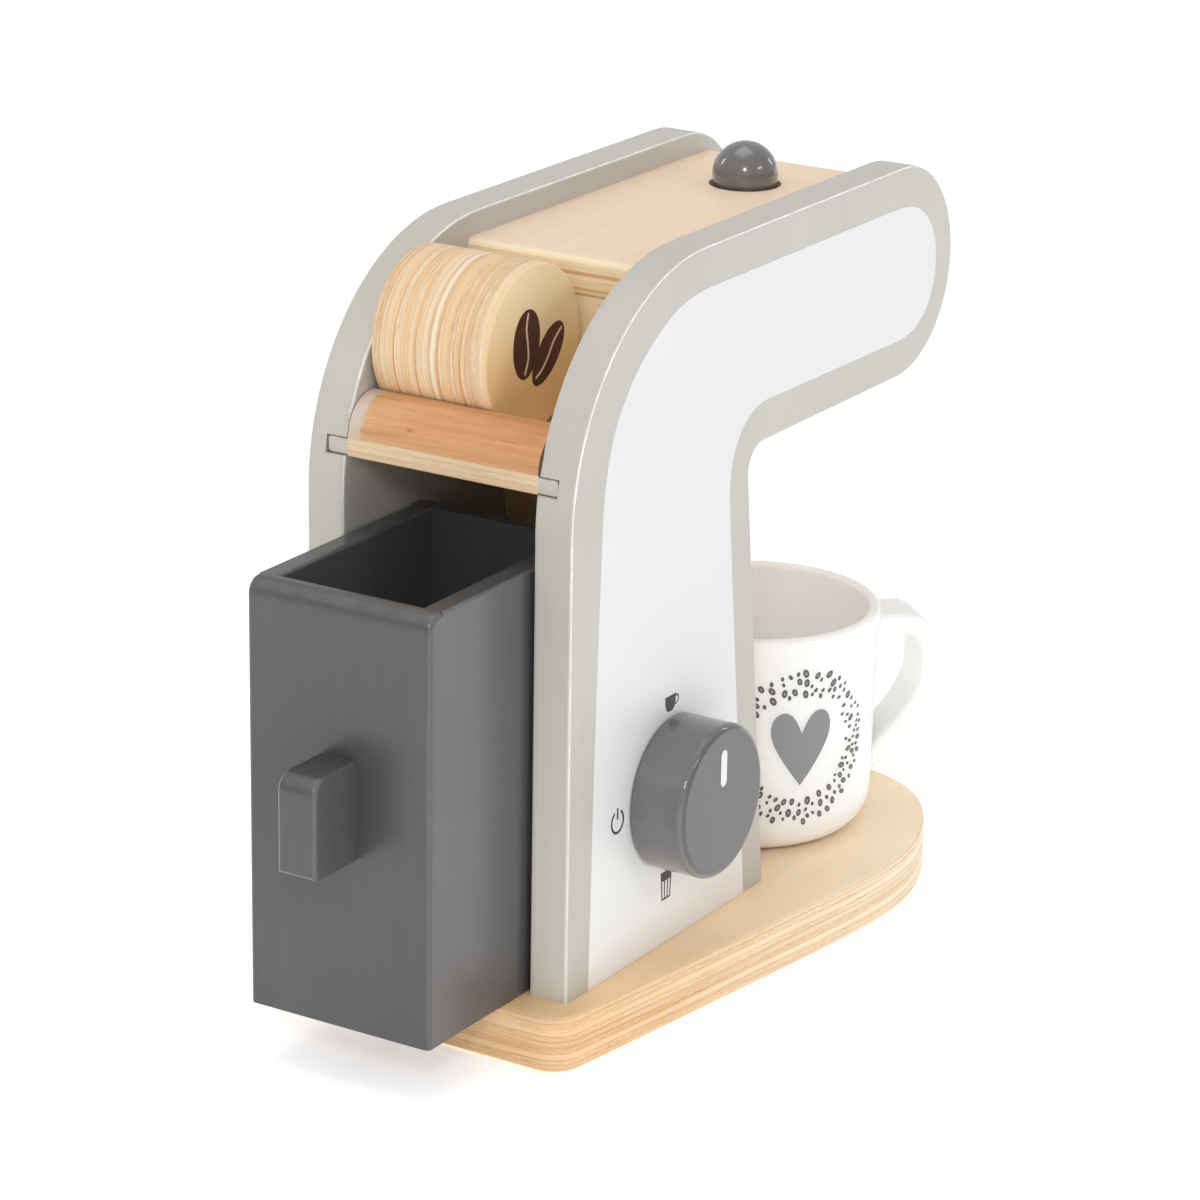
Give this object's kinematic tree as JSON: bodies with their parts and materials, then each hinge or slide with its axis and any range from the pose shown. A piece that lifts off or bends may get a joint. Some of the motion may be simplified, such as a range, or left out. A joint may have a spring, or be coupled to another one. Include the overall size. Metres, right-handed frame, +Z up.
{
  "type": "toy coffee maker",
  "caption": "Wooden toy coffee maker with two side panels, turning dial, sprung push button, hopper of coffee discs, pull-out bin and cup.",
  "frame": {"origin": "on the underside of the base, midway between the side panels, 46 mm behind the column's front foot", "axes": "+X towards the cup, +Z up, the dial on the -Y side"},
  "size_m": [0.2739, 0.1342, 0.2185],
  "materials": {
    "panel_paint": "light grey satin paint on plywood, white painted face",
    "birch_ply": "clear satin lacquer, layered edges",
    "bin_paint": "dark grey satin paint",
    "disc_ply": "sanded, clear satin lacquer",
    "beech": "sanded",
    "alder": "clear satin lacquer",
    "dark_gloss": "dark grey gloss",
    "cup_white": "white, slightly translucent",
    "steel": "zinc plated"
  },
  "bodies": {
    "frame": {"base_board": "birch_ply", "base_screws": "steel", "left_side_panel": "panel_paint", "right_side_panel": "panel_paint", "column_front_board": "birch_ply", "shelf_board": "birch_ply", "retaining_lip": "alder", "top_board": "birch_ply", "hopper_front_plate": "birch_ply", "arm_bottom_board": "birch_ply", "arm_front_board": "birch_ply", "board_dowels": "beech", "spout": "dark_gloss", "button_guide": "birch_ply", "button_spring": "steel"},
    "bin": {"bin_back_panel": "bin_paint", "bin_left_wall": "bin_paint", "bin_right_wall": "bin_paint", "bin_front_wall": "bin_paint", "bin_floor": "bin_paint", "bin_pull": "bin_paint", "bin_pull_screw": "steel"},
    "dial": {"knob": "dark_gloss", "knob_axle": "beech", "knob_washer": "steel", "knob_screw": "steel"},
    "button": {"button_dome": "dark_gloss", "button_stem": "beech", "button_collar": "beech"},
    "cup": {"cup": "cup_white"},
    "disc_1": {"coffee_disc_1": "disc_ply"},
    "disc_2": {"coffee_disc_2": "disc_ply"},
    "disc_3": {"coffee_disc_3": "disc_ply"},
    "disc_4": {"coffee_disc_4": "disc_ply"},
    "disc_5": {"coffee_disc_5": "disc_ply"}
  },
  "joints": [
    {"name": "bin_slide", "type": "slide", "parent": "frame", "child": "bin", "axis": [1, 0, 0], "range_m": [-0.038, 0.0415]},
    {"name": "dial_turn", "type": "hinge", "parent": "frame", "child": "dial", "pos_m": [-0.0073, -0.0429, 0.0614], "axis": [0, -1, 0], "continuous": true},
    {"name": "button_press", "type": "slide", "parent": "frame", "child": "button", "axis": [0, 0, 1], "range_m": [-0.006, 0], "stiffness_N_per_m": 250, "springref_m": 0.003, "deforming": ["button_spring"]},
    {"name": "cup_slide", "type": "slide", "parent": "frame", "child": "cup", "axis": [1, 0, 0], "range_m": [0, 0.1]},
    {"name": "disc_1_lift", "type": "slide", "parent": "frame", "child": "disc_1", "axis": [0, 0, 1], "range_m": [0, 0.06]},
    {"name": "disc_2_lift", "type": "slide", "parent": "frame", "child": "disc_2", "axis": [0, 0, 1], "range_m": [0, 0.06]},
    {"name": "disc_3_lift", "type": "slide", "parent": "frame", "child": "disc_3", "axis": [0, 0, 1], "range_m": [0, 0.06]},
    {"name": "disc_4_lift", "type": "slide", "parent": "frame", "child": "disc_4", "axis": [0, 0, 1], "range_m": [0, 0.06]},
    {"name": "disc_5_lift", "type": "slide", "parent": "frame", "child": "disc_5", "axis": [0, 0, 1], "range_m": [0, 0.06]}
  ]
}
